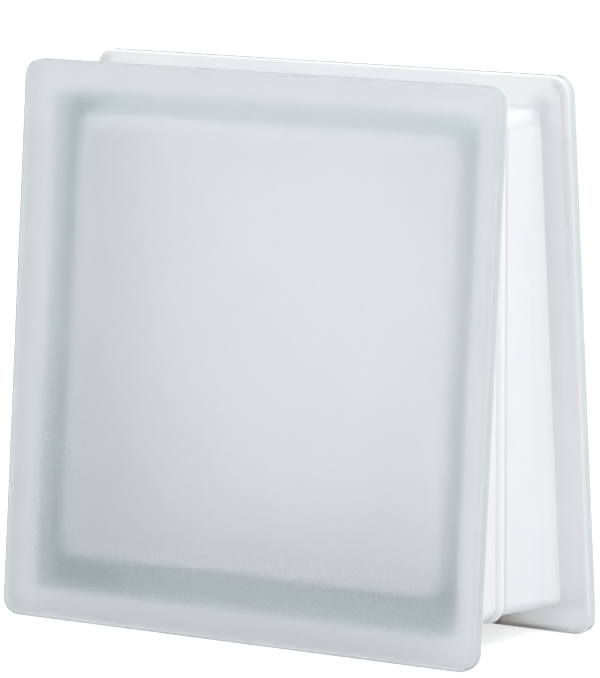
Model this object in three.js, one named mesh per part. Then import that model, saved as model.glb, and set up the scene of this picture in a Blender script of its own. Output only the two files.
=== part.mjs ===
// A hollow, wedge-shaped glass block: two pressed glass dishes, fused rim to rim at an upright seam.
// The two square faces lean towards each other, so the block is thick at its foot and thin at its head.
// Frame: millimetres, +X to the right along the front face, +Y from front to back, +Z up.
// The origin lies on the floor, under the middle of the block.
import * as THREE from "three";

// The block's outside.
const faceWidth = 190; // both faces, side to side
const blockHeight = 190; // standing height
const footThickness = 81; // over both faces at the floor
const headThickness = 48; // over both faces at the top
const seamForward = 5; // how far the seam lies in front of the block's middle
const flangeCornerRadius = 6; // the four corners of a face

// The flange: the rim of a face that stands out past the waist.
const flangeThickness = 6; // at its edge
const flangeDraft = 0.7; // how much thicker the flange is where it meets the waist
const outerArris = 1.6; // rounding between a face and the flange's side
const innerArris = 1.2; // rounding between the flange's side and its inner face

// The waist between the two flanges, which the mortar fills.
const channelDepth = 10.3; // how far the waist stands back from the flange's side
const waistDraft = 1.4; // how much deeper the channel is beside the seam
const waistDrop = 0.7; // how far the waist's middle lies below the flange's middle
const channelFillet = 0.5; // hollow corner between flange and waist
const waistCornerRadius = 3.2; // the waist's four corners where they meet the flange
const rimCornerRadius = 4.6; // the same corners beside the seam

// The bead that the fusing squeezes out round the seam.
const beadHeight = 1.7;
const beadWidth = 4;

// The hollow inside.
const faceGlass = 8; // thickness of a face plate
const rimWall = 5; // thickness of the waist wall at the seam
const rootWall = 8; // thickness of the waist wall where it meets the face plate
const cavityRise = 1.3; // how far the hollow's middle lies above the flange's middle
const cavityCornerRadius = 7;
const cavityFillet = 5; // hollow corner between the wall and the face plate

// Facets of a rounding.
const cornerSteps = 7;
const arrisSteps = 3;
const beadSteps = 4;
const filletSteps = 4;

// The thickness over both faces at the height z.
function thickness(z) {
  return THREE.MathUtils.lerp(footThickness, headThickness, z / blockHeight);
}

// A dish is lofted with its rim in the plane y = 0 and its face on the -Y side.
// Its reach is how far the face stands from the rim at the height z.
const frontReach = (z) => thickness(z) / 2 - seamForward;
const backReach = (z) => thickness(z) / 2 + seamForward;

// A station is one closed outline of the dish: a square with round corners, set in from the flange's side.
// It lies parallel to the sloping face, at a distance behind it, or parallel to the rim.
function behindFace(distance) {
  return (z, reach) => distance - reach(z);
}

function beforeRim(distance) {
  return () => -distance;
}

function station(inset, cornerRadius, depthAt, drop = 0) {
  return { inset, cornerRadius, depthAt, drop };
}

// The angles that divide a quarter turn into equal steps.
function quarterTurn(steps) {
  return Array.from({ length: steps + 1 }, (_, i) => ((i / steps) * Math.PI) / 2);
}

// The outline's points, anticlockwise as seen from the front, a quarter circle at each corner.
function outlinePoints({ inset, cornerRadius, depthAt, drop }, faceReach) {
  const side = faceWidth / 2 - inset - cornerRadius;
  const low = inset + cornerRadius - drop;
  const high = blockHeight - inset - cornerRadius - drop;
  const centres = [
    [side, low],
    [side, high],
    [-side, high],
    [-side, low],
  ];
  return centres.flatMap(([x, z], corner) =>
    quarterTurn(cornerSteps).map((turn) => {
      const angle = turn + ((corner - 1) * Math.PI) / 2;
      const pointX = x + cornerRadius * Math.cos(angle);
      const pointZ = z + cornerRadius * Math.sin(angle);
      return new THREE.Vector3(pointX, depthAt(pointZ, faceReach), pointZ);
    }),
  );
}

// From the face, round the outer arris, to the flange's side.
function outerArrisStations() {
  return quarterTurn(arrisSteps).map((turn) => {
    const inset = outerArris * (1 - Math.sin(turn));
    const distance = outerArris * (1 - Math.cos(turn));
    return station(inset, flangeCornerRadius - inset, behindFace(distance));
  });
}

// From the flange's side, round the inner arris, to the flange's inner face.
function innerArrisStations() {
  return quarterTurn(arrisSteps).map((turn) => {
    const inset = innerArris * (1 - Math.cos(turn));
    const distance = flangeThickness - innerArris * (1 - Math.sin(turn));
    return station(inset, flangeCornerRadius - inset, behindFace(distance));
  });
}

// From the flange's inner face, round the hollow corner, to the waist.
function channelFilletStations() {
  const rootThickness = flangeThickness + flangeDraft;
  return quarterTurn(filletSteps).map((turn) => {
    const rise = channelFillet * (1 - Math.sin(turn));
    const distance = rootThickness + channelFillet * (1 - Math.cos(turn));
    return station(channelDepth - rise, waistCornerRadius + rise, behindFace(distance), waistDrop);
  });
}

// From the waist over half of the bead, to its crest in the seam plane.
function beadStations() {
  const deepest = channelDepth + waistDraft;
  return quarterTurn(beadSteps).map((turn) => {
    const rise = beadHeight * Math.sin(turn);
    const distance = (beadWidth / 2) * Math.cos(turn);
    return station(deepest - rise, rimCornerRadius + rise, beforeRim(distance), waistDrop);
  });
}

// From the rim along the inside of the wall, round the hollow corner, to the back of the face plate.
function cavityStations() {
  const rimInset = channelDepth + waistDraft + rimWall;
  const rim = station(rimInset, cavityCornerRadius, beforeRim(0), -cavityRise);
  const fillet = quarterTurn(filletSteps).map((turn) => {
    const rise = cavityFillet * (1 - Math.cos(turn));
    const distance = faceGlass + cavityFillet * (1 - Math.sin(turn));
    const inset = channelDepth + rootWall + rise;
    return station(inset, cavityCornerRadius - rise, behindFace(distance), -cavityRise);
  });
  return [rim, ...fillet];
}

// A flat cap over an outline.
function capTriangles(points, firstIndex, facesFront) {
  const contour = points.map((point) => new THREE.Vector2(point.x, point.z));
  return THREE.ShapeUtils.triangulateShape(contour, []).flatMap(([a, b, c]) => {
    const turned = facesFront ? [a, b, c] : [a, c, b];
    return turned.map((corner) => corner + firstIndex);
  });
}

// A band of triangles between two outlines that follow each other.
function bandTriangles(firstIndex, count) {
  return Array.from({ length: count }, (_, i) => {
    const next = (i + 1) % count;
    const a = firstIndex + i;
    const b = firstIndex + next;
    const c = firstIndex + count + next;
    const d = firstIndex + count + i;
    return [a, d, c, a, c, b];
  }).flat();
}

// One closed solid from a row of stations, with a flat cap at each end.
function loft(stations, faceReach) {
  const outlines = stations.map((outline) => outlinePoints(outline, faceReach));
  const count = outlines[0].length;
  const last = outlines.length - 1;
  const triangles = [
    ...capTriangles(outlines[0], 0, true),
    ...outlines.slice(1).flatMap((_, i) => bandTriangles(i * count, count)),
    ...capTriangles(outlines[last], last * count, false),
  ];
  const geometry = new THREE.BufferGeometry().setFromPoints(outlines.flat());
  geometry.setIndex(triangles);
  geometry.computeVertexNormals();
  return geometry;
}

function dishGeometry(faceReach) {
  const stations = [
    ...outerArrisStations(),
    ...innerArrisStations(),
    ...channelFilletStations(),
    ...beadStations(),
    ...cavityStations(),
  ];
  return loft(stations, faceReach);
}

function satinGlass() {
  return new THREE.MeshStandardMaterial({ color: 0xd9e0de, roughness: 0.55, metalness: 0 });
}

// The front dish faces forwards. The deeper back dish is turned half round, and they meet rim to rim.
const frontHalf = new THREE.Mesh(dishGeometry(frontReach), satinGlass());
frontHalf.name = "front_half";
frontHalf.position.y = -seamForward;

const backHalf = new THREE.Mesh(dishGeometry(backReach), satinGlass());
backHalf.name = "back_half";
backHalf.rotation.z = Math.PI;
backHalf.position.y = -seamForward;

const group = new THREE.Group();
group.add(frontHalf, backHalf);

export default group;
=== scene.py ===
# %% [markdown]
# # A wedge-shaped glass block
# The block is two pressed glass dishes, fused rim to rim. Both faces are etched to a satin.
# The channel round its waist, which the mortar fills, is coated white.
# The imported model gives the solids, and everything here stands in the same frame, in metres.

# %% Load the frame
import bpy
import math
from mathutils import Matrix, Vector


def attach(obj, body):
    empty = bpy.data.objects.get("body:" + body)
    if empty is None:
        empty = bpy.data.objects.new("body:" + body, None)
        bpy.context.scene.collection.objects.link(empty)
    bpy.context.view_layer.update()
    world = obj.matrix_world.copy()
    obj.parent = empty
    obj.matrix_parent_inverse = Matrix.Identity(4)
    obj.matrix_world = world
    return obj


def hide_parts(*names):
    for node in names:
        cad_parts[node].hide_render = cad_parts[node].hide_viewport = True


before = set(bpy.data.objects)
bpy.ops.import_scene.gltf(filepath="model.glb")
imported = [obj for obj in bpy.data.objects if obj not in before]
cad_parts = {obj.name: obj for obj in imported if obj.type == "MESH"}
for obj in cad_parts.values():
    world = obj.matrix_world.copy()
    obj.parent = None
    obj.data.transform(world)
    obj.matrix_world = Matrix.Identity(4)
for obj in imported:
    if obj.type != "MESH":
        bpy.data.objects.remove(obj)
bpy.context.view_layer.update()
MM = 0.001

# %% [markdown]
# ## Sizes
# Each dish follows one rule, so its sizes come first, in millimetres. They are the solids' own.
# A lofted dish could also be modelled by hand, but then each change of a size would be a day's work.

# %% Sizes of the block
FACE_WIDTH = 190
BLOCK_HEIGHT = 190
FOOT_THICKNESS = 81
HEAD_THICKNESS = 48
SEAM_FORWARD = 5
FLANGE_CORNER = 6
FLANGE_THICKNESS = 6
FLANGE_DRAFT = 0.7
OUTER_ARRIS = 1.6
INNER_ARRIS = 1.2
CHANNEL_DEPTH = 10.3
WAIST_DRAFT = 1.4
WAIST_DROP = 0.7
CHANNEL_FILLET = 0.5
WAIST_CORNER = 3.2
RIM_CORNER = 4.6
BEAD_HEIGHT = 1.7
BEAD_HALF_WIDTH = 2
FACE_GLASS = 8
RIM_WALL = 5
ROOT_WALL = 8
CAVITY_CORNER = 7
CAVITY_DROP = -1.3
CAVITY_FILLET = 5
ROOT_BEHIND = FLANGE_THICKNESS + FLANGE_DRAFT
RIM_INSET = CHANNEL_DEPTH + WAIST_DRAFT
print("thick at the foot", FOOT_THICKNESS, "at the head", HEAD_THICKNESS, "rim set in by", RIM_INSET)

# %% [markdown]
# ## The profile
# A dish is a row of stations. A station is a square with round corners, set in from the flange's side.
# It lies parallel to the sloping face, or parallel to the rim, and `slope` says how much of each.
# The row starts in the middle of the face and ends in the middle of the hollow, so the dish is closed.
# A round edge is a quarter turn of stations. Eight steps are enough for the eye at this size.


# %% One station and a quarter turn of them
def station(inset, corner, along, slope, drop=0.0):
    """A rounded square: how far in, its corner radius, its depth, its slope and its drop."""
    return {"inset": inset, "corner": corner, "along": along, "slope": slope, "drop": drop}


def quarter(steps):
    return [i / steps * math.pi / 2 for i in range(steps + 1)]


def between(first, last, count):
    """The stations that divide the way from first to last, without its ends."""
    shares = [i / (count + 1) for i in range(1, count + 1)]
    return [{k: first[k] + (last[k] - first[k]) * t for k in first} for t in shares]


# %% [markdown]
# Every station carries the finish of the band that follows it. The last station of a stretch names
# the finish of the next stretch, so the bands meet without a gap.


# %% The satin face and its arris
FACE_MIDDLE = FACE_WIDTH / 2
ARRIS_STEPS = 8


def dressed(finish, stations, next_finish=None):
    """The stations of one stretch, each with the finish of the band behind it."""
    rows = [(finish, s) for s in stations]
    if next_finish:
        rows[-1] = (next_finish, rows[-1][1])
    return rows


def face_rings(depth, first_inset, corner, drop=0.0):
    """Rings of a flat face, from its middle outwards."""
    insets = [FACE_MIDDLE, 80, 60, 45, 35, first_inset]
    return [station(i, 0 if i == FACE_MIDDLE else corner, depth, 1, drop) for i in insets]


def outer_arris():
    rings = []
    for turn in quarter(ARRIS_STEPS):
        inset = OUTER_ARRIS * (1 - math.sin(turn))
        behind = OUTER_ARRIS * (1 - math.cos(turn))
        rings.append(station(inset, FLANGE_CORNER - inset, behind, 1))
    return rings


rim_of_face = [station(i, FLANGE_CORNER - i, 0, 1) for i in (4, 2.2)]
face = dressed("satin", face_rings(0, 14, 3) + rim_of_face + outer_arris(), "edge")
print("stations of the face", len(face))


# %% The flange's side and the back of the flange
def inner_arris():
    rings = []
    for turn in quarter(ARRIS_STEPS):
        inset = INNER_ARRIS * (1 - math.cos(turn))
        behind = FLANGE_THICKNESS - INNER_ARRIS * (1 - math.sin(turn))
        rings.append(station(inset, FLANGE_CORNER - inset, behind, 1))
    return rings


def flange_back(inset):
    """The coated back of the flange leans a little, and its corners grow into the waist's."""
    share = (inset - INNER_ARRIS) / (CHANNEL_DEPTH - CHANNEL_FILLET - INNER_ARRIS)
    corner = FLANGE_CORNER - inset + share * (WAIST_CORNER + CHANNEL_DEPTH - FLANGE_CORNER)
    return station(inset, corner, FLANGE_THICKNESS + FLANGE_DRAFT * share, 1, WAIST_DROP * share)


side_depths = (OUTER_ARRIS + 0.4, FLANGE_THICKNESS - INNER_ARRIS - 0.4)
flange_side = dressed("edge", [station(0, FLANGE_CORNER, depth, 1) for depth in side_depths])
flange = dressed("coat", inner_arris() + [flange_back(i) for i in (1.8, 3, 5, 7, 8.8)])
print("stations of the flange", len(flange_side) + len(flange))


# %% The root, the waist and the bead
def root_fillet():
    rings = []
    for turn in quarter(6):
        rise_off = CHANNEL_FILLET * (1 - math.sin(turn))
        behind = ROOT_BEHIND + CHANNEL_FILLET * (1 - math.cos(turn))
        rings.append(station(CHANNEL_DEPTH - rise_off, WAIST_CORNER + rise_off, behind, 1, WAIST_DROP))
    return rings


def half_bead():
    rings = []
    for turn in quarter(10):
        height = BEAD_HEIGHT * math.sin(turn)
        before = BEAD_HALF_WIDTH * math.cos(turn)
        rings.append(station(RIM_INSET - height, RIM_CORNER + height, -before, 0, WAIST_DROP))
    return rings


root = root_fillet()
bead = half_bead()
waist = dressed("coat", root + between(root[-1], bead[0], 7) + bead, "joint")
print("stations of the waist", len(waist))


# %% The hollow
def hollow_corner():
    rings = []
    for turn in quarter(10):
        rise_in = CAVITY_FILLET * (1 - math.cos(turn))
        behind = FACE_GLASS + CAVITY_FILLET * (1 - math.sin(turn))
        inset = CHANNEL_DEPTH + ROOT_WALL + rise_in
        rings.append(station(inset, CAVITY_CORNER - rise_in, behind, 1, CAVITY_DROP))
    return rings


inner_rim = station(RIM_INSET + RIM_WALL, CAVITY_CORNER, 0, 0, CAVITY_DROP)
round_floor = hollow_corner()
wall = dressed("inside", [inner_rim] + between(inner_rim, round_floor[0], 5))
plate_rings = face_rings(FACE_GLASS, 26, CAVITY_CORNER - CAVITY_FILLET, CAVITY_DROP)[::-1]
hollow = wall + dressed("corner", round_floor) + dressed("plate", plate_rings)
profile = face + flange_side + flange + waist + hollow
print("stations of a dish:", len(profile))

# %% [markdown]
# ## Wiring a material
# A material is a small circuit, and each finish below is told in a few lines when the wiring has its
# own short helpers. `place_on` gives the place on the block in millimetres, so that every pattern has
# a real size, and `rise` is the soft step from one value to another that most marks are made of.


# %% Nodes and links
def add_node(tree, kind, **settings):
    made = tree.nodes.new(kind)
    for key, value in settings.items():
        setattr(made, key, value)
    return made


def put(tree, target, value):
    """Links a socket to target, or sets target's own value."""
    if hasattr(value, "is_output"):
        tree.links.new(value, target)
    else:
        target.default_value = value


def math_node(tree, operation, *values):
    made = add_node(tree, "ShaderNodeMath", operation=operation)
    for socket, value in zip(made.inputs, values):
        put(tree, socket, value)
    return made.outputs[0]


def product(tree, first, *others):
    for other in others:
        first = math_node(tree, "MULTIPLY", first, other)
    return first


def away_from(tree, value, place):
    """How far value is from place, either way."""
    return math_node(tree, "ABSOLUTE", math_node(tree, "SUBTRACT", value, place))


def new_material(name):
    made = bpy.data.materials.new(name)
    made.use_nodes = True
    made.node_tree.nodes.clear()
    output = made.node_tree.nodes.new("ShaderNodeOutputMaterial")
    return made, made.node_tree, output


# %% Places and patterns
def place_on(tree, stretch=(1, 1, 1)):
    """Object coordinates in millimetres, squeezed along each axis by stretch."""
    coordinates = add_node(tree, "ShaderNodeTexCoord")
    scaled = add_node(tree, "ShaderNodeMapping")
    scaled.inputs["Scale"].default_value = [1 / (MM * s) for s in stretch]
    tree.links.new(coordinates.outputs["Object"], scaled.inputs["Vector"])
    return scaled.outputs[0]


def noise_on(tree, size, detail=3, stretch=(1, 1, 1)):
    """A cloud from 0 to 1 whose lumps are size millimetres across."""
    noise = add_node(tree, "ShaderNodeTexNoise")
    noise.inputs["Scale"].default_value = 1 / size
    noise.inputs["Detail"].default_value = detail
    tree.links.new(place_on(tree, stretch), noise.inputs["Vector"])
    return noise.outputs["Fac"]


def attribute(tree, name):
    """A number that the loft stored on the mesh: inset from the flange's side, or behind the face."""
    return add_node(tree, "ShaderNodeAttribute", attribute_name=name).outputs["Fac"]


def rise(tree, value, start, end, low=0.0, high=1.0):
    """Goes smoothly from low to high as value goes from start to end."""
    made = add_node(tree, "ShaderNodeMapRange", interpolation_type="SMOOTHSTEP")
    put(tree, made.inputs["Value"], value)
    for name, number in {"From Min": start, "From Max": end, "To Min": low, "To Max": high}.items():
        made.inputs[name].default_value = number
    return made.outputs[0]


def edge_on(tree, start, end):
    """Rises where the surface turns away from the eye."""
    turned = add_node(tree, "ShaderNodeLayerWeight").outputs["Facing"]
    return rise(tree, turned, start, end)


def behind_side(tree):
    """1 where the surface is met from inside the glass, 0 from outside."""
    return add_node(tree, "ShaderNodeNewGeometry").outputs["Backfacing"]


# %% Colours and shaders
def mixed(tree, share, first, second, blend_type="MIX"):
    """Two colours mixed by share."""
    made = add_node(tree, "ShaderNodeMix", data_type="RGBA", blend_type=blend_type)
    put(tree, made.inputs[0], share)
    for socket, colour in ((made.inputs[6], first), (made.inputs[7], second)):
        put(tree, socket, colour if hasattr(colour, "is_output") else (*colour, 1))
    return made.outputs[2]


def toned(tree, share, colour, tone):
    """A colour, of which a share is dimmed by tone."""
    return mixed(tree, share, colour, mixed(tree, 1.0, colour, tone, "MULTIPLY"))


def blend(tree, share, first, second):
    """Two shaders mixed by share."""
    made = add_node(tree, "ShaderNodeMixShader")
    for socket, value in zip(made.inputs, (share, first, second)):
        put(tree, socket, value)
    return made.outputs[0]


def plain_shader(tree, kind, colour):
    """A diffuse or translucent shader of one colour, or of a linked one."""
    made = add_node(tree, kind)
    put(tree, made.inputs["Color"], colour if hasattr(colour, "is_output") else (*colour, 1))
    return made.outputs[0]


def bumped(tree, shader, height, distance, strength):
    """Raises the surface by height, where distance is in millimetres."""
    bump = add_node(tree, "ShaderNodeBump")
    bump.inputs["Strength"].default_value = strength
    bump.inputs["Distance"].default_value = distance * MM
    put(tree, bump.inputs["Height"], height)
    tree.links.new(bump.outputs["Normal"], shader.inputs["Normal"])


# %% Plain glass
GLASS_IOR = 1.5


def glass_shader(tree, roughness):
    shader = add_node(tree, "ShaderNodeBsdfPrincipled")
    put(tree, shader.inputs["Roughness"], roughness)
    shader.inputs["IOR"].default_value = GLASS_IOR
    shader.inputs["Transmission Weight"].default_value = 1
    return shader


# %% [markdown]
# ## The satin skin
# Acid etching leaves millions of tiny pits, so what stands behind the face shows only as soft bands.
# The bands could be painted as a gradient, but a gradient stays put in other views. Rough glass over
# a real hollow moves the bands as the eye moves, so the skin is a rough glass shader and the tones
# come from the light. Only two small marks lie on it: a hair of painted shade on the rim, and coarser,
# darker pits in the lower left corner and along the foot, which in the lower left corner are also
# painted shade.

# %% Marks on the satin
RIM_PAINTED_SHADE = (0.64, 0.67, 0.68)
RIM_LINE = (0.3, 1.0)
FOOT_RIM = (1.5, 3)
COARSE_PIT_SIZE = 0.85
PIT_AND_SHADE_TONE = (0.88, 0.89, 0.895)
DARKER_LEFT_OF = (-72, -55)
DARKER_BELOW = (60, 120)
PITS_ALONG_FOOT = (24, 38)
INSIDE_FLANGE = (9, 12)


def parts_of(tree, vector):
    apart = add_node(tree, "ShaderNodeSeparateXYZ")
    tree.links.new(vector, apart.inputs[0])
    return apart.outputs


def painted_rim_shade(tree, tone, at_left, z):
    """A hair of painted shade on the arris, on the left and along the foot."""
    side = math_node(tree, "MAXIMUM", at_left, rise(tree, z, *FOOT_RIM, 1.0, 0.0))
    line = rise(tree, attribute(tree, "inset"), *RIM_LINE, 1.0, 0.0)
    return toned(tree, product(tree, side, line), tone, RIM_PAINTED_SHADE)


def pits_and_painted_shade(tree, tone, x, z):
    """Coarser, darker pits along the foot; in the lower left corner they are also painted shade."""
    pitted = product(tree, rise(tree, x, *DARKER_LEFT_OF, 1.0, 0.0), rise(tree, z, *DARKER_BELOW, 1.0, 0.0))
    pitted = math_node(tree, "MAXIMUM", pitted, rise(tree, z, *PITS_ALONG_FOOT, 1.0, 0.0))
    off_flange = rise(tree, attribute(tree, "inset"), *INSIDE_FLANGE)
    pits = rise(tree, noise_on(tree, COARSE_PIT_SIZE, 2), 0.35, 0.65, 1.0, 0.0)
    return toned(tree, product(tree, pitted, off_flange, pits), tone, PIT_AND_SHADE_TONE)


# %% [markdown]
# The roughness of the skin drifts a little where the acid bit deeper, and a fine grain breaks up the
# surface. The arris is painted darker where it turns away, most of all on the left, as painted shade
# for the eye that looks along the glass and not through it.

# %% Satin skin
SATIN_ROUGHNESS = 0.8062
SATIN_COLOUR = (0.942, 0.9537, 0.9754)
SATIN_DRIFT = 0.03
SATIN_CLOUD = (0.985, 0.985, 0.985)
SATIN_GRAIN = (0.965, 0.97, 0.972)
CLOUD_SIZE = 34
GRAIN_SIZE = 0.55
ARRIS_PAINTED_SHADE = (0.45, 0.52, 0.55)
ARRIS_SHARE = 0.12
ARRIS_TURNS = (0.25, 0.55)
LEFT_RIM = (-93, -90)


def satin_material():
    made, tree, output = new_material("satin_skin")
    cloud = noise_on(tree, CLOUD_SIZE, 2)
    low, high = SATIN_ROUGHNESS - SATIN_DRIFT, SATIN_ROUGHNESS + SATIN_DRIFT
    shader = glass_shader(tree, rise(tree, cloud, 0.3, 0.7, low, high))
    tone = toned(tree, rise(tree, cloud, 0.3, 0.7), SATIN_COLOUR, SATIN_CLOUD)
    grain = noise_on(tree, GRAIN_SIZE, 2)
    tone = toned(tree, rise(tree, grain, 0.35, 0.65, 1.0, 0.0), tone, SATIN_GRAIN)
    on_arris = rise(tree, attribute(tree, "behind"), 0.0, 0.3)
    outside = math_node(tree, "SUBTRACT", 1, behind_side(tree))
    x, _, z = parts_of(tree, place_on(tree))
    at_left = rise(tree, x, *LEFT_RIM, 1.0, 0.0)
    by_side = rise(tree, at_left, 0, 1, ARRIS_SHARE, 1.0)
    # Painted shade on the arris where it turns away from the eye.
    dark = product(tree, on_arris, edge_on(tree, *ARRIS_TURNS), outside, by_side)
    tone = pits_and_painted_shade(tree, painted_rim_shade(tree, tone, at_left, z), x, z)
    put(tree, shader.inputs["Base Color"], toned(tree, dark, tone, ARRIS_PAINTED_SHADE))
    bumped(tree, shader, grain, 0.1, 0.4)
    tree.links.new(shader.outputs[0], output.inputs["Surface"])
    return made


satin_skin = satin_material()
print("satin roughness", SATIN_ROUGHNESS, "grain", GRAIN_SIZE, "mm")

# %% [markdown]
# ## The pressed edge
# The side of each flange was left as the mould pressed it, with fine lines that run along it. When
# the channel was sprayed, a thin mist of the coat drifted onto the side. Clear glass there would
# show the bright room and look like chrome. So most of the edge is mist, half of it lit from before
# and half lit through. It is rubbed off where the block stands. Near the outer face, where the strip
# is seen almost edge on, the mist is painted dark as painted shade, more on the back flange.

# %% Pressed edge
EDGE_ROUGHNESS = 0.6
EDGE_COLOUR = (0.88, 0.93, 0.94)
EDGE_LINE_TONE = (0.94, 0.94, 0.94)
EDGE_LINES_PER_MM = 1.6
EDGE_MIST = 0.8
EDGE_MIST_AT_FOOT = 0.3
EDGE_MIST_COLOUR = (0.68, 0.70, 0.71)
EDGE_LIT_THROUGH = (0.8692, 0.9141, 0.9098)
EDGE_PAINTED_SHADE = (0.30, 0.36, 0.38)
EDGE_BARE_TO = 4.4
EDGE_BARE_FADE = 1.6
EDGE_BARE_IN_FRONT = 0.45
EDGE_TURNS = (0.6, 0.8)
EDGE_STANDS = (0.5, 2.5)
FRONT_TO_BACK = (-5, 5)


def edge_material():
    made, tree, output = new_material("pressed_edge")
    shader = glass_shader(tree, EDGE_ROUGHNESS)
    behind = attribute(tree, "behind")
    lines = add_node(tree, "ShaderNodeTexNoise", noise_dimensions="1D")
    put(tree, lines.inputs["W"], behind)
    lines.inputs["Scale"].default_value = EDGE_LINES_PER_MM
    lines.inputs["Detail"].default_value = 3
    low = rise(tree, lines.outputs["Fac"], 0.35, 0.65, 1.0, 0.0)
    put(tree, shader.inputs["Base Color"], toned(tree, low, EDGE_COLOUR, EDGE_LINE_TONE))
    bumped(tree, shader, lines.outputs["Fac"], 0.05, 0.5)
    edge_shade_share = rise(tree, behind, EDGE_BARE_TO - EDGE_BARE_FADE, EDGE_BARE_TO, 1.0, 0.0)
    _, across, up = parts_of(tree, place_on(tree))
    by_flange = rise(tree, across, *FRONT_TO_BACK, EDGE_BARE_IN_FRONT, 1.0)
    edge_shade_share = product(tree, edge_shade_share, edge_on(tree, *EDGE_TURNS), by_flange)
    # The dark edge seen almost edge on is painted shade.
    before = mixed(tree, edge_shade_share, EDGE_MIST_COLOUR, EDGE_PAINTED_SHADE)
    through = mixed(tree, edge_shade_share, EDGE_LIT_THROUGH, EDGE_PAINTED_SHADE)
    mist = blend(
        tree,
        0.5,
        plain_shader(tree, "ShaderNodeBsdfDiffuse", before),
        plain_shader(tree, "ShaderNodeBsdfTranslucent", through),
    )
    share = rise(tree, up, *EDGE_STANDS, EDGE_MIST_AT_FOOT, EDGE_MIST)
    tree.links.new(blend(tree, share, shader.outputs[0], mist), output.inputs["Surface"])
    return made


pressed_edge = edge_material()
print("share of mist on the edge", EDGE_MIST)

# %% [markdown]
# ## The glass inside
# The wall of the hollow kept the wavy skin of the plunger that pressed it. The plates behind the two
# faces are frosted as well, the back one more, so the hollow glows evenly and nothing in the room
# shows through. One very rough glass would do that too, but it scatters so widely that the hollow's
# dark frame would vanish. A share of frost over clearer glass keeps the frame and softens it.

# %% Wall of the hollow and the two plates
INSIDE_ROUGHNESS = 0.6406
INSIDE_WAVE_SIZE = 17
FRONT_FROST = 0.4416
BACK_FROST = 0.5875
PLATE_BEFORE = 0.3924
PLATE_WHITE = (0.986, 0.99, 0.99)
PLATE_COLOUR = (0.99, 0.99, 0.99)
PLATE_ROUGHNESS = 0.2172


def inside_material():
    made, tree, output = new_material("inside_glass")
    shader = glass_shader(tree, INSIDE_ROUGHNESS)
    bumped(tree, shader, noise_on(tree, INSIDE_WAVE_SIZE, 1), 0.15, 0.5)
    tree.links.new(shader.outputs[0], output.inputs["Surface"])
    return made


def frosted(tree, share):
    """Glass with a share of frost, which glows with the light behind it and the light before it."""
    clear = glass_shader(tree, PLATE_ROUGHNESS)
    behind = plain_shader(tree, "ShaderNodeBsdfTranslucent", PLATE_COLOUR)
    before = plain_shader(tree, "ShaderNodeBsdfDiffuse", PLATE_WHITE)
    return blend(tree, share, clear.outputs[0], blend(tree, PLATE_BEFORE, behind, before))


def plate_material(name, share):
    made, tree, output = new_material(name)
    tree.links.new(frosted(tree, share), output.inputs["Surface"])
    return made


inside_glass = inside_material()
front_plate = plate_material("front_plate", FRONT_FROST)
back_plate = plate_material("back_plate", BACK_FROST)
print("frost of the front plate", FRONT_FROST, "and of the back plate", BACK_FROST)

# %% [markdown]
# ## The inner corner
# The upper inner corner of each hollow catches the light from above as a pale line. Glass that is
# pressed into a corner cools first there and stays a little frosted. A share of white is also mixed in
# as a painted highlight where the corner faces down, and nowhere else. The normal tells where that is,
# and the height keeps the highlight off the lower corner.

# %% Inner corner
CORNER_FROST = 0.6034
HIGHLIGHT_SHARE = 0.8
HIGHLIGHT_COLOUR = (0.93, 0.95, 0.96)
HIGHLIGHT_HEIGHT = (100, 120)


def corner_material():
    made, tree, output = new_material("inner_corner")
    painted_highlight = plain_shader(tree, "ShaderNodeBsdfDiffuse", HIGHLIGHT_COLOUR)
    normal = add_node(tree, "ShaderNodeNewGeometry").outputs["Normal"]
    level = math_node(tree, "ABSOLUTE", parts_of(tree, normal)[2])
    high_up = rise(tree, parts_of(tree, place_on(tree))[2], *HIGHLIGHT_HEIGHT)
    # A painted highlight: white mixed in at the top inner corner.
    share = product(tree, rise(tree, level, 0.25, 0.6), high_up, HIGHLIGHT_SHARE)
    tree.links.new(blend(tree, share, frosted(tree, CORNER_FROST), painted_highlight), output.inputs["Surface"])
    return made


inner_corner = corner_material()
print("bloom above", HIGHLIGHT_HEIGHT, "mm")

# %% [markdown]
# ## The white coat
# The coat is a thin matt enamel, sprayed into the channel so that mortar grips it. A flat white would
# look like plastic. The real coat is never even: it drifts in soft clouds and runs in streaks along the
# spray's way. Light is painted in where two surfaces meet and on the head's flange, shade is painted
# on the flange below, and the waist is darker on top. Each of these is one short function that takes
# the colour so far and returns it with its mark. All of them use one set of places, in millimetres, so
# a mark's numbers can be read off a ruler.


# %% Where a point of the coat lies
def coat_places(tree):
    """The places that the marks use: beside the middle, across, up, set in and behind the face."""
    x, y, z = parts_of(tree, place_on(tree))
    behind = attribute(tree, "behind")
    return {
        "beside": math_node(tree, "ABSOLUTE", x),
        "across": y,
        "up": z,
        "inset": attribute(tree, "inset"),
        "behind": behind,
        "on_flange": rise(tree, behind, ROOT_BEHIND + 0.05, ROOT_BEHIND + 0.4, 1.0, 0.0),
    }


# %% Clouds and spray streaks
COAT_OUTSIDE = (0.915, 0.925, 0.945)
COAT_SHADED = (0.90, 0.91, 0.935)
COAT_CLOUD_SIZE = 26
COAT_STREAK = (0.985, 0.985, 0.985)
STREAK_STRETCH = (1.1, 1.1, 70)


def spray_streaks(tree):
    return rise(tree, noise_on(tree, 1, 2, STREAK_STRETCH), 0.3, 0.7)


def sprayed(tree, streaks):
    clouds = rise(tree, noise_on(tree, COAT_CLOUD_SIZE, 3), 0.35, 0.65)
    return toned(tree, streaks, mixed(tree, clouds, COAT_OUTSIDE, COAT_SHADED), COAT_STREAK)


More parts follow.
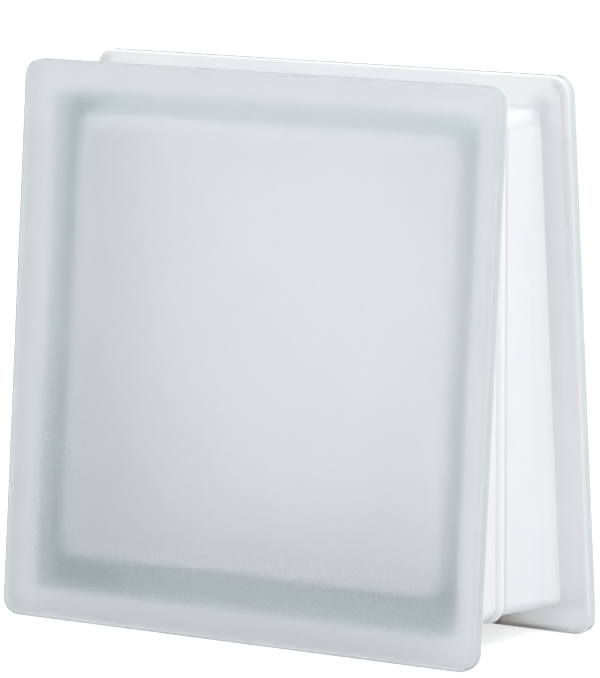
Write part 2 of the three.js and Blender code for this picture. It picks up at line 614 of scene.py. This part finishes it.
# %% Painted light and shade on the coat, and its darker top
COAT_PAINTED_LIGHT = (0.985, 0.985, 0.99)
LIGHT_REACH = 11
BEAD_FOOT_Y = -6.0
COAT_TOP_TONE = (0.835, 0.845, 0.865)
COAT_PAINTED_SHADE = (0.86, 0.86, 0.865)
GROOVE_INSET = 2.2
WAIST_TURN = 86.4
DARKER_ABOVE = (172, 177)
BELOW_HEAD = (174.5, 179)
HEAD_LIGHT_BESIDE = (50, 68)
HEAD_LIGHT_ENDS = (87, 91)
SHADE_GROWS_UPWARDS = (40, 140)


def painted_crease_light(tree, colour, at):
    """Painted light: the coat is lighter at the flange's root and at the foot of the bead, where shade
    falls.
    """
    from_root = rise(tree, at["behind"], ROOT_BEHIND, ROOT_BEHIND + LIGHT_REACH, 1.0, 0.0)
    colour = mixed(tree, math_node(tree, "SUBTRACT", from_root, at["on_flange"]), colour, COAT_PAINTED_LIGHT)
    at_bead = rise(tree, away_from(tree, at["across"], BEAD_FOOT_Y), 0.8, 3.2, 0.8, 0.0)
    return mixed(tree, at_bead, colour, COAT_PAINTED_LIGHT)


def darker_on_top(tree, colour, at):
    # The waist's top is darker.
    on_waist = rise(tree, at["inset"], CHANNEL_DEPTH - 0.5, CHANNEL_DEPTH)
    return mixed(tree, product(tree, rise(tree, at["up"], *DARKER_ABOVE), on_waist), colour, COAT_TOP_TONE)


def below_head(tree, at):
    """1 below a line that slants down from the waist's upper corner to the flange's side: the edge of
    the painted shade.
    """
    outwards = math_node(tree, "MAXIMUM", math_node(tree, "SUBTRACT", at["beside"], WAIST_TURN), -2)
    slanted = math_node(tree, "MULTIPLY_ADD", outwards, 0.8, at["up"])
    return rise(tree, slanted, *BELOW_HEAD, 1.0, 0.0)


def head_light_and_flange_shade(tree, colour, at):
    """Painted light on the head's flange, most beside its ends. Below it, painted shade on the flange,
    darker towards the waist and higher up.
    """
    low = below_head(tree, at)
    head = math_node(tree, "SUBTRACT", at["on_flange"], product(tree, at["on_flange"], low))
    off_corner = rise(tree, at["beside"], *HEAD_LIGHT_ENDS, 1.0, 0.0)
    head = product(tree, head, off_corner, rise(tree, at["beside"], *HEAD_LIGHT_BESIDE, 0.4, 1.0))
    colour = mixed(tree, head, colour, COAT_PAINTED_LIGHT)
    inwards = rise(tree, at["inset"], GROOVE_INSET, CHANNEL_DEPTH, 0.4, 1.0)
    upwards = rise(tree, at["up"], *SHADE_GROWS_UPWARDS, 0.65, 1.0)
    flange_shade = product(tree, at["on_flange"], inwards, low, upwards)
    return toned(tree, flange_shade, colour, COAT_PAINTED_SHADE)


# %% [markdown]
# Marks come last, because they lie on the coat. A darker line runs along the groove beside the flange's
# rim, and shade is painted in the valley behind the bead. A shadow is painted at the waist's upper
# corner, and the foot is darker where the block stands, partly a stain and partly painted shade. Each
# mark fades at its ends, and noise keeps its edge ragged.

# %% A dark line in the groove, and painted shade behind the bead
CORNER_SHADOW_TONE = (0.76, 0.78, 0.80)
GROOVE_LINE_TONE = (0.77, 0.77, 0.775)
GROOVE_GROWS = (90, 150)
GROOVE_SIDE = (88, 92)
BEAD_SHADE_Y = -1.1
BEAD_SHADE_TONE = (0.77, 0.775, 0.795)


def groove_dark_line(tree, colour, at):
    line = rise(tree, away_from(tree, at["inset"], GROOVE_INSET), 0.1, 1.3, 0.8, 0.0)
    higher = rise(tree, at["up"], *GROOVE_GROWS, 0.15, 1.0)
    at_side = rise(tree, at["beside"], *GROOVE_SIDE)
    ragged = rise(tree, noise_on(tree, 3, 3), 0.35, 0.6, 0.55, 1.0)
    return mixed(tree, product(tree, line, higher, at_side, ragged), colour, GROOVE_LINE_TONE)


def painted_bead_shade(tree, colour, at, streaks):
    # Painted shade in the valley behind the bead.
    line = rise(tree, away_from(tree, at["across"], BEAD_SHADE_Y), 0.4, 1.7, 1.0, 0.0)
    line = product(tree, line, rise(tree, streaks, 0.0, 1.0, 0.7, 1.0))
    return mixed(tree, line, colour, BEAD_SHADE_TONE)


# %% Painted shadow at the corner, and dirt and painted shade at the foot
CORNER_SHADOW_AT = (85.0, 178.5)
CORNER_SHADOW_REACH = (2, 8)
# At the foot: stain is a warm stain that also paints shade, edge a painted contact shadow, deep a
# painted near-black shadow under the waist.
FOOT_DIRT_AND_SHADE = {
    "stain": ((0.90, 0.83, 0.70), 0.9, (4, 11), (62, 82)),
    "edge": ((0.40, 0.38, 0.34), 0.75, (0.8, 2.2), (72, 86)),
    "deep": ((0.09, 0.07, 0.05), 1.0, (2, 4), (58, 62)),
}


def painted_corner_shadow(tree, colour, at):
    # A painted shadow cast by the waist's upper corner onto the flange.
    beside = math_node(tree, "SUBTRACT", at["beside"], CORNER_SHADOW_AT[0])
    above = math_node(tree, "SUBTRACT", at["up"], CORNER_SHADOW_AT[1])
    squares = [math_node(tree, "MULTIPLY", side, side) for side in (beside, above)]
    away = math_node(tree, "SQRT", math_node(tree, "ADD", *squares))
    ragged = rise(tree, noise_on(tree, 6, 3), 0.3, 0.7, 0.45, 0.9)
    corner_shadow = product(tree, rise(tree, away, *CORNER_SHADOW_REACH, 1.0, 0.0), ragged, at["on_flange"])
    return mixed(tree, corner_shadow, colour, CORNER_SHADOW_TONE)


def foot_dirt_and_shade(tree, colour, at):
    """Each kind of dirt and painted shade has a tone, a share, the height where it fades and how far
    out it reaches.
    """
    for tone, share, height, reach in FOOT_DIRT_AND_SHADE.values():
        low = rise(tree, at["up"], *height, share, 0.0)
        inner = rise(tree, at["beside"], *reach, 1.0, 0.0)
        colour = mixed(tree, product(tree, low, inner), colour, tone)
    return colour


# %% The coat seen from outside
def coat_colour(tree, at):
    streaks = spray_streaks(tree)
    colour = sprayed(tree, streaks)
    for mark in (painted_crease_light, darker_on_top, head_light_and_flange_shade, groove_dark_line):
        colour = mark(tree, colour, at)
    colour = painted_bead_shade(tree, colour, at, streaks)
    return foot_dirt_and_shade(tree, painted_corner_shadow(tree, colour, at), at)


# %% [markdown]
# Seen from inside, the coat lies behind glass, and glass is never quite clear: every centimetre keeps
# a share of the light, less of red than of green or blue. That law makes the grey-green frame which
# shows through the faces. An absorbing volume would do the same, but it has to be traced through
# every bounce and is lost in the export. The length of the ray that meets the coat's inner side is
# the same measure, so the tint is worked out from it. A little light also comes through the coat
# itself, and more where it is worn at the foot of the back flange.

# %% White coat
COAT_UNDER_FLANGE = (0.8044, 0.8072, 0.8072)
COAT_UNDER_WAIST = (0.8585, 0.8923, 0.8937)
GLASS_LEFT_AFTER_CM = (0.9204, 0.9354, 0.9306)
COAT_THROUGH_FLANGE = 0.0942
COAT_THROUGH_WAIST = 0.0833
COAT_WORN = 0.38
WORN_BELOW = (7, 11)
WORN_ABOVE = (0.8, 3)
WORN_BESIDE = (58, 74)
WORN_BEHIND = (10, 20)
COAT_LIT_THROUGH = (0.8675, 0.875, 0.8765)
WAIST_STARTS = (CHANNEL_DEPTH - 1.5, CHANNEL_DEPTH - 0.2)
PEEL_SIZE = 1.4


def through_glass(tree):
    """What the glass leaves of red, green and blue on the way to the coat."""
    path = add_node(tree, "ShaderNodeLightPath")
    centimetres = math_node(tree, "DIVIDE", path.outputs["Ray Length"], 10 * MM)
    together = add_node(tree, "ShaderNodeCombineColor")
    for socket, left in zip(together.inputs, GLASS_LEFT_AFTER_CM):
        put(tree, socket, math_node(tree, "POWER", left, centimetres))
    return together.outputs[0]


def under_coat(tree, at):
    on_waist = rise(tree, at["inset"], *WAIST_STARTS)
    under = mixed(tree, on_waist, COAT_UNDER_FLANGE, COAT_UNDER_WAIST)
    return mixed(tree, 1.0, under, through_glass(tree), "MULTIPLY")


def lit_through(tree, at):
    """The share of light that comes through. The back flange is worn near the floor."""
    share = rise(tree, at["inset"], *WAIST_STARTS, COAT_THROUGH_FLANGE, COAT_THROUGH_WAIST)
    at_foot = rise(tree, at["up"], *WORN_BELOW, COAT_WORN, 0.0)
    at_foot = product(tree, at_foot, rise(tree, at["up"], *WORN_ABOVE))
    at_back = rise(tree, at["across"], *WORN_BEHIND)
    at_back = product(tree, at_back, rise(tree, at["beside"], *WORN_BESIDE))
    return math_node(tree, "ADD", share, product(tree, at_foot, at_back))


def coat_material():
    made, tree, output = new_material("white_coat")
    at = coat_places(tree)
    shader = add_node(tree, "ShaderNodeBsdfPrincipled")
    colour = mixed(tree, behind_side(tree), coat_colour(tree, at), under_coat(tree, at))
    put(tree, shader.inputs["Base Color"], colour)
    peel = noise_on(tree, PEEL_SIZE, 3)
    put(tree, shader.inputs["Roughness"], rise(tree, peel, 0.3, 0.7, 0.72, 0.82))
    bumped(tree, shader, peel, 0.05, 0.35)
    through = plain_shader(tree, "ShaderNodeBsdfTranslucent", COAT_LIT_THROUGH)
    surface = blend(tree, lit_through(tree, at), shader.outputs[0], through)
    tree.links.new(surface, output.inputs["Surface"])
    return made


white_coat = coat_material()
print("glass leaves after a centimetre", GLASS_LEFT_AFTER_CM)

# %% [markdown]
# ## The fused joint
# Where the two dishes were fused, there is no surface at all. The two meshes still touch there, each
# closed by itself, so that strip is a clear film. A tint on it stands for the glass of the joint,
# which would otherwise let a white slit of the room shine through.

# %% Fused joint
JOINT_COLOUR = (0.8612, 0.9045, 0.9017)


def joint_material():
    made, tree, output = new_material("fused_joint")
    film = plain_shader(tree, "ShaderNodeBsdfTransparent", JOINT_COLOUR)
    tree.links.new(film, output.inputs["Surface"])
    return made


FINISHES = {
    "satin": satin_skin,
    "edge": pressed_edge,
    "coat": white_coat,
    "joint": joint_material(),
    "inside": inside_glass,
    "plate": front_plate,
    "corner": inner_corner,
}
print("finishes", list(FINISHES))

# %% [markdown]
# ## The loft
# The profile says where each band lies, and one Geometry Nodes tree turns it into a dish. The tree
# starts from a flat grid with one row for each station and one column for each point of the outline.
# It then puts every point in its place by the rule, so a change of one size moves them all together.
# The stations come in as a line of points that carry their numbers as attributes.

# %% The profile as a line of points
ATTRIBUTES = ("inset", "corner", "along", "slope", "drop")


def profile_object(name):
    mesh = bpy.data.meshes.new(name)
    count = len(profile)
    mesh.from_pydata([(i, 0, 0) for i in range(count)], [(i, i + 1) for i in range(count - 1)], [])
    for key in ATTRIBUTES:
        layer = mesh.attributes.new(key, "FLOAT", "POINT")
        layer.data.foreach_set("value", [s[key] for _, s in profile])
    made = bpy.data.objects.new(name, mesh)
    bpy.context.scene.collection.objects.link(made)
    return made


# %% The tree's inputs
LOFT_NUMBERS = {
    "Face width": FACE_WIDTH,
    "Block height": BLOCK_HEIGHT,
    "Foot thickness": FOOT_THICKNESS,
    "Head thickness": HEAD_THICKNESS,
    "Seam forward": SEAM_FORWARD,
    "Facing": 1.0,
}
CORNER_STEPS = 16


def loft_inputs(tree):
    sockets = tree.interface
    sockets.new_socket("Geometry", in_out="INPUT", socket_type="NodeSocketGeometry")
    sockets.new_socket("Geometry", in_out="OUTPUT", socket_type="NodeSocketGeometry")
    for name, value in LOFT_NUMBERS.items():
        sockets.new_socket(name, in_out="INPUT", socket_type="NodeSocketFloat").default_value = value
    steps = sockets.new_socket("Corner steps", in_out="INPUT", socket_type="NodeSocketInt")
    steps.default_value = CORNER_STEPS
    sockets.new_socket("Plate finish", in_out="INPUT", socket_type="NodeSocketMaterial")
    return add_node(tree, "NodeGroupInput").outputs


# %% Small steps that the tree repeats
def named_number(tree, name):
    made = add_node(tree, "GeometryNodeInputNamedAttribute", data_type="FLOAT")
    made.inputs["Name"].default_value = name
    return made.outputs["Attribute"]


def store(tree, geometry, name, value):
    """Keeps a number on every point, where materials and later steps can read it."""
    made = add_node(tree, "GeometryNodeStoreNamedAttribute", data_type="FLOAT", domain="POINT")
    made.inputs["Name"].default_value = name
    tree.links.new(geometry, made.inputs["Geometry"])
    put(tree, made.inputs["Value"], value)
    return made.outputs[0]


def pass_through(tree, kind, geometry, **values):
    """One step that takes geometry in and gives it out."""
    made = add_node(tree, kind)
    tree.links.new(geometry, made.inputs[0])
    for name, value in values.items():
        put(tree, made.inputs[name], value)
    return made.outputs[0]


# %% The flat grid
def flat_grid(tree, given):
    """The grid, with each point's column and row."""
    per_corner = math_node(tree, "ADD", given["Corner steps"], 1)
    columns = math_node(tree, "MULTIPLY", per_corner, 4)
    size = add_node(tree, "GeometryNodeAttributeDomainSize")
    tree.links.new(given["Geometry"], size.inputs[0])
    stations = size.outputs["Point Count"]
    last_row = math_node(tree, "SUBTRACT", stations, 1)
    grid = add_node(tree, "GeometryNodeMeshGrid")
    put(tree, grid.inputs["Size X"], columns)
    put(tree, grid.inputs["Size Y"], last_row)
    put(tree, grid.inputs["Vertices X"], math_node(tree, "ADD", columns, 1))
    put(tree, grid.inputs["Vertices Y"], stations)
    apart = add_node(tree, "ShaderNodeSeparateXYZ")
    tree.links.new(add_node(tree, "GeometryNodeInputPosition").outputs[0], apart.inputs[0])
    numbers = []
    for place, length in ((apart.outputs[0], columns), (apart.outputs[1], last_row)):
        from_edge = math_node(tree, "ADD", place, math_node(tree, "MULTIPLY", length, 0.5))
        numbers.append(math_node(tree, "ROUND", from_edge))
    return grid.outputs["Mesh"], columns, per_corner, numbers


# %% A row's station
def station_numbers(tree, given, row):
    """Each point reads the five numbers of the station that its row belongs to."""
    found = []
    for key in ATTRIBUTES:
        sample = add_node(tree, "GeometryNodeSampleIndex", data_type="FLOAT", domain="POINT")
        tree.links.new(given["Geometry"], sample.inputs["Geometry"])
        put(tree, sample.inputs["Value"], named_number(tree, key))
        put(tree, sample.inputs["Index"], row)
        found.append(sample.outputs[0])
    return found


# %% [markdown]
# The outline is walked corner by corner. `which` says which of the four corners a column belongs to,
# and `turn` how far round that corner it has come. The straight sides need no points of their own:
# they are the faces between the last point of one corner and the first of the next.


# %% A point on the outline
def outline_point(tree, given, column, columns, per_corner, inset, corner, drop):
    """The point's x and z, in millimetres."""
    around = math_node(tree, "MODULO", column, columns)
    which = math_node(tree, "FLOOR", math_node(tree, "DIVIDE", around, per_corner))
    step = math_node(tree, "SUBTRACT", around, math_node(tree, "MULTIPLY", which, per_corner))
    part = math_node(tree, "DIVIDE", step, given["Corner steps"])
    turn = math_node(tree, "ADD", part, math_node(tree, "SUBTRACT", which, 1))
    angle = math_node(tree, "MULTIPLY", turn, math.pi / 2)
    is_left = math_node(tree, "GREATER_THAN", which, 1.5)
    is_high = math_node(tree, "LESS_THAN", away_from(tree, which, 1.5), 1)
    reach_in = math_node(tree, "ADD", inset, corner)
    half_width = math_node(tree, "MULTIPLY", given["Face width"], 0.5)
    half_side = math_node(tree, "SUBTRACT", half_width, reach_in)
    sign = math_node(tree, "MULTIPLY_ADD", is_left, -2, 1)
    centre_x = math_node(tree, "MULTIPLY", half_side, sign)
    tall = math_node(tree, "SUBTRACT", given["Block height"], math_node(tree, "MULTIPLY", reach_in, 2))
    level = math_node(tree, "MULTIPLY_ADD", is_high, tall, reach_in)
    centre_z = math_node(tree, "SUBTRACT", level, drop)
    x = math_node(tree, "MULTIPLY_ADD", corner, math_node(tree, "COSINE", angle), centre_x)
    z = math_node(tree, "MULTIPLY_ADD", corner, math_node(tree, "SINE", angle), centre_z)
    return x, z


# %% How deep the point lies
def depth_of(tree, given, z, along, slope):
    """The point's distance from the rim, and the sloping face's distance from the rim at its height."""
    taper = math_node(tree, "SUBTRACT", given["Head thickness"], given["Foot thickness"])
    share = math_node(tree, "DIVIDE", z, given["Block height"])
    thickness = math_node(tree, "MULTIPLY_ADD", share, taper, given["Foot thickness"])
    seam = math_node(tree, "MULTIPLY", given["Seam forward"], given["Facing"])
    reach = math_node(tree, "SUBTRACT", math_node(tree, "MULTIPLY", thickness, 0.5), seam)
    return math_node(tree, "SUBTRACT", along, math_node(tree, "MULTIPLY", slope, reach)), reach


def in_place(tree, given, x, depth, z):
    """The back dish is the same dish, turned half round."""
    turned_x = math_node(tree, "MULTIPLY", x, given["Facing"])
    turned_depth = math_node(tree, "MULTIPLY", depth, given["Facing"])
    y = math_node(tree, "SUBTRACT", turned_depth, given["Seam forward"])
    together = add_node(tree, "ShaderNodeCombineXYZ")
    for socket, value in zip(together.inputs, (turned_x, y, z)):
        put(tree, socket, math_node(tree, "MULTIPLY", value, MM))
    return together.outputs[0]


# %% The finish of each band
def bands_of(rows):
    """Neighbouring stations of one finish, as (finish, first station, last station)."""
    bands = []
    for i, (finish, _) in enumerate(rows[:-1]):
        if not bands or bands[-1][0] != finish:
            bands.append([finish, i, i + 1])
        bands[-1][2] = i + 1
    return bands


def dress_bands(tree, given, geometry):
    """A face belongs to a band when its middle lies between the band's first and last station."""
    bands = bands_of(profile)
    number = named_number(tree, "station")
    geometry = pass_through(
        tree, "GeometryNodeSetMaterial", geometry, Material=FINISHES[bands[0][0]]
    )
    for finish, low, high in bands[1:]:
        above = math_node(tree, "GREATER_THAN", number, low)
        below = math_node(tree, "LESS_THAN", number, high)
        geometry = pass_through(
            tree,
            "GeometryNodeSetMaterial",
            geometry,
            Selection=product(tree, above, below),
            Material=given["Plate finish"] if finish == "plate" else FINISHES[finish],
        )
    print("bands", bands)
    return geometry


# %% The whole tree
WELD_DISTANCE = 0.002


def loft_tree():
    tree = bpy.data.node_groups.new("dish_loft", "GeometryNodeTree")
    given = loft_inputs(tree)
    geometry, columns, per_corner, (column, row) = flat_grid(tree, given)
    geometry = store(tree, geometry, "station", row)
    inset, corner, along, slope, drop = station_numbers(tree, given, row)
    x, z = outline_point(tree, given, column, columns, per_corner, inset, corner, drop)
    depth, reach = depth_of(tree, given, z, along, slope)
    geometry = store(tree, geometry, "inset", inset)
    geometry = store(tree, geometry, "behind", math_node(tree, "ADD", depth, reach))
    place = in_place(tree, given, x, depth, z)
    geometry = pass_through(tree, "GeometryNodeSetPosition", geometry, Position=place)
    geometry = pass_through(tree, "GeometryNodeMergeByDistance", geometry, Distance=WELD_DISTANCE * MM)
    geometry = pass_through(tree, "GeometryNodeFlipFaces", geometry)
    geometry = pass_through(tree, "GeometryNodeRealizeInstances", geometry)
    geometry = dress_bands(tree, given, geometry)
    tree.links.new(geometry, add_node(tree, "NodeGroupOutput").inputs["Geometry"])
    return tree


dish_loft = loft_tree()

# %% [markdown]
# ## The two dishes
# Both dishes come from the one tree. Facing is 1 for the front dish and -1 for the back one, which is
# deeper because the seam lies in front of the middle. Each takes the place of its node in the model.
# Edges over 40 degrees stay sharp, so the channel's root reads as a line.

# %% Make both dishes
SHARP_OVER = math.radians(40)


def set_input(modifier, name, value):
    """A modifier knows its inputs by identifier, not by name."""
    for item in modifier.node_group.interface.items_tree:
        if item.name == name and item.in_out == "INPUT":
            modifier[item.identifier] = value


def make_dish(name, node, facing, plate):
    source = profile_object(name + "_profile")
    modifier = source.modifiers.new("loft", "NODES")
    modifier.node_group = dish_loft
    set_input(modifier, "Facing", facing)
    set_input(modifier, "Plate finish", plate)
    view = bpy.context.evaluated_depsgraph_get()
    mesh = bpy.data.meshes.new_from_object(source.evaluated_get(view))
    bpy.data.objects.remove(source)
    mesh.name = name
    made = bpy.data.objects.new(name, mesh)
    bpy.context.scene.collection.objects.link(made)
    mesh.shade_smooth()
    mesh.set_sharp_from_angle(angle=SHARP_OVER)
    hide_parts(node)
    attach(made, "root")
    print(name, len(mesh.polygons), "faces")
    return made


make_dish("front_glass", "front_half", 1.0, front_plate)
make_dish("back_glass", "back_half", -1.0, back_plate)

# %% [markdown]
# ## The room
# Satin glass shows the room it stands in, so the room is plain and pale. The eye, a reflection and
# a look through the glass all see a background of strength 1, which is white. The light that falls
# on the block comes from a dimmer sky, so white parts keep their shading and nothing clips.

# %% The world
SKY_LIGHT = 0.769
BACKDROP_LIGHT = 1.0
WHITE = (1, 1, 1, 1)


def seen_or_mirrored(tree):
    """1 for rays of the eye, of a reflection and of a look through glass."""
    path = add_node(tree, "ShaderNodeLightPath")
    glossy, passing = path.outputs["Is Glossy Ray"], path.outputs["Is Transmission Ray"]
    mirrored = math_node(tree, "MAXIMUM", glossy, passing)
    return math_node(tree, "MAXIMUM", path.outputs["Is Camera Ray"], mirrored)


def background(tree, strength):
    made = add_node(tree, "ShaderNodeBackground")
    made.inputs["Color"].default_value = WHITE
    made.inputs["Strength"].default_value = strength
    return made.outputs[0]


def make_world():
    world = bpy.data.worlds.new("studio")
    bpy.context.scene.world = world
    world.use_nodes = True
    tree = world.node_tree
    tree.nodes.clear()
    sky, backdrop = background(tree, SKY_LIGHT), background(tree, BACKDROP_LIGHT)
    picked = blend(tree, seen_or_mirrored(tree), sky, backdrop)
    tree.links.new(picked, add_node(tree, "ShaderNodeOutputWorld").inputs["Surface"])


make_world()
print("sky", SKY_LIGHT)

# %% [markdown]
# The floor is a matt sheet that keeps the block's shadow. A white floor has to look as white as the
# backdrop, and more lamps would only bleach the block. So the floor also glows, but only for the eye,
# reflections and looks through glass, and it sends no extra light onto the block.

# %% The floor
FLOOR_REACH = 3.0
FLOOR_SHADE = 0.74
FLOOR_GLOW = 0.6


def floor_finish():
    made, tree, output = new_material("floor")
    matte = plain_shader(tree, "ShaderNodeBsdfDiffuse", (FLOOR_SHADE, FLOOR_SHADE, FLOOR_SHADE))
    glow = add_node(tree, "ShaderNodeEmission")
    put(tree, glow.inputs["Strength"], product(tree, seen_or_mirrored(tree), FLOOR_GLOW))
    both = add_node(tree, "ShaderNodeAddShader")
    tree.links.new(matte, both.inputs[0])
    tree.links.new(glow.outputs[0], both.inputs[1])
    tree.links.new(both.outputs[0], output.inputs["Surface"])
    return made


def make_floor():
    mesh = bpy.data.meshes.new("floor")
    corners = [(-1, -1), (1, -1), (1, 1), (-1, 1)]
    mesh.from_pydata([(x * FLOOR_REACH, y * FLOOR_REACH, 0) for x, y in corners], [], [(0, 1, 2, 3)])
    mesh.materials.append(floor_finish())
    floor = bpy.data.objects.new("floor", mesh)
    bpy.context.scene.collection.objects.link(floor)


make_floor()
print("floor", 2 * FLOOR_REACH, "m across")

# %% [markdown]
# Two large soft lamps give the block its form. The key hangs high on the right, beside the channel,
# so the waist is the brightest part and the foot of the channel falls into shade. The fill stands in
# front on the left and is far weaker. Small lamps would throw hard edges through the glass.

# %% Lamps
KEY_PLACE = (1.2, 0.329, 2.1)
KEY_WATTS = 25.02
FILL_PLACE = (-1.2, -1.5, 1.6)
FILL_WATTS = 2.1117
LAMP_SIZE = 1.4
LAMP_TARGET = (0, 0, 0.1)


def softbox(name, place, watts):
    data = bpy.data.lights.new(name, "AREA")
    data.shape = "RECTANGLE"
    data.size = LAMP_SIZE
    data.size_y = LAMP_SIZE
    data.energy = watts
    lamp = bpy.data.objects.new(name, data)
    lamp.location = place
    aim = Vector(LAMP_TARGET) - Vector(place)
    lamp.rotation_euler = aim.to_track_quat("-Z", "Y").to_euler()
    bpy.context.scene.collection.objects.link(lamp)


softbox("key", KEY_PLACE, KEY_WATTS)
softbox("fill", FILL_PLACE, FILL_WATTS)
print("key", KEY_WATTS, "W, fill", FILL_WATTS, "W")

# %% [markdown]
# ## The camera
# The block is seen from its right front corner, a little from above. A long lens from almost two
# metres keeps the two faces nearly as large as each other, which shows the wedge. The camera is
# placed by two angles and a distance from the block's middle, then shifted and rolled a hair.

# %% Camera
VIEW_SIDE = math.radians(33.43)
VIEW_UP = math.radians(8.39)
VIEW_ROLL = math.radians(-0.115)
VIEW_FAR = 1851
VIEW_SHIFT = (1.281, 2.699)
FOCAL_PIXELS = 5479
IMAGE_HEIGHT = 678
SENSOR = 36


def view_axes():
    """The camera's right, up and backward directions."""
    level = math.cos(VIEW_UP)
    backwards = Vector((math.sin(VIEW_SIDE) * level, -math.cos(VIEW_SIDE) * level, math.sin(VIEW_UP)))
    right = Vector((0, 0, 1)).cross(backwards).normalized()
    return right, backwards.cross(right), backwards


def make_camera():
    right, up, backwards = view_axes()
    middle = Vector((0, 0, BLOCK_HEIGHT / 2))
    place = middle + VIEW_FAR * backwards + VIEW_SHIFT[0] * right + VIEW_SHIFT[1] * up
    rolled_right = math.cos(VIEW_ROLL) * right + math.sin(VIEW_ROLL) * up
    rolled_up = math.cos(VIEW_ROLL) * up - math.sin(VIEW_ROLL) * right
    data = bpy.data.cameras.new("camera")
    data.sensor_fit = "VERTICAL"
    data.sensor_height = SENSOR
    data.lens = FOCAL_PIXELS / IMAGE_HEIGHT * SENSOR
    camera = bpy.data.objects.new("camera", data)
    bpy.context.scene.collection.objects.link(camera)
    basis = Matrix((rolled_right, rolled_up, backwards)).transposed().to_4x4()
    camera.matrix_world = Matrix.Translation(place * MM) @ basis
    bpy.context.scene.camera = camera
    print("lens", round(data.lens), "mm, camera at", [round(c, 2) for c in place])


make_camera()
bpy.context.scene.view_settings.view_transform = "Standard"
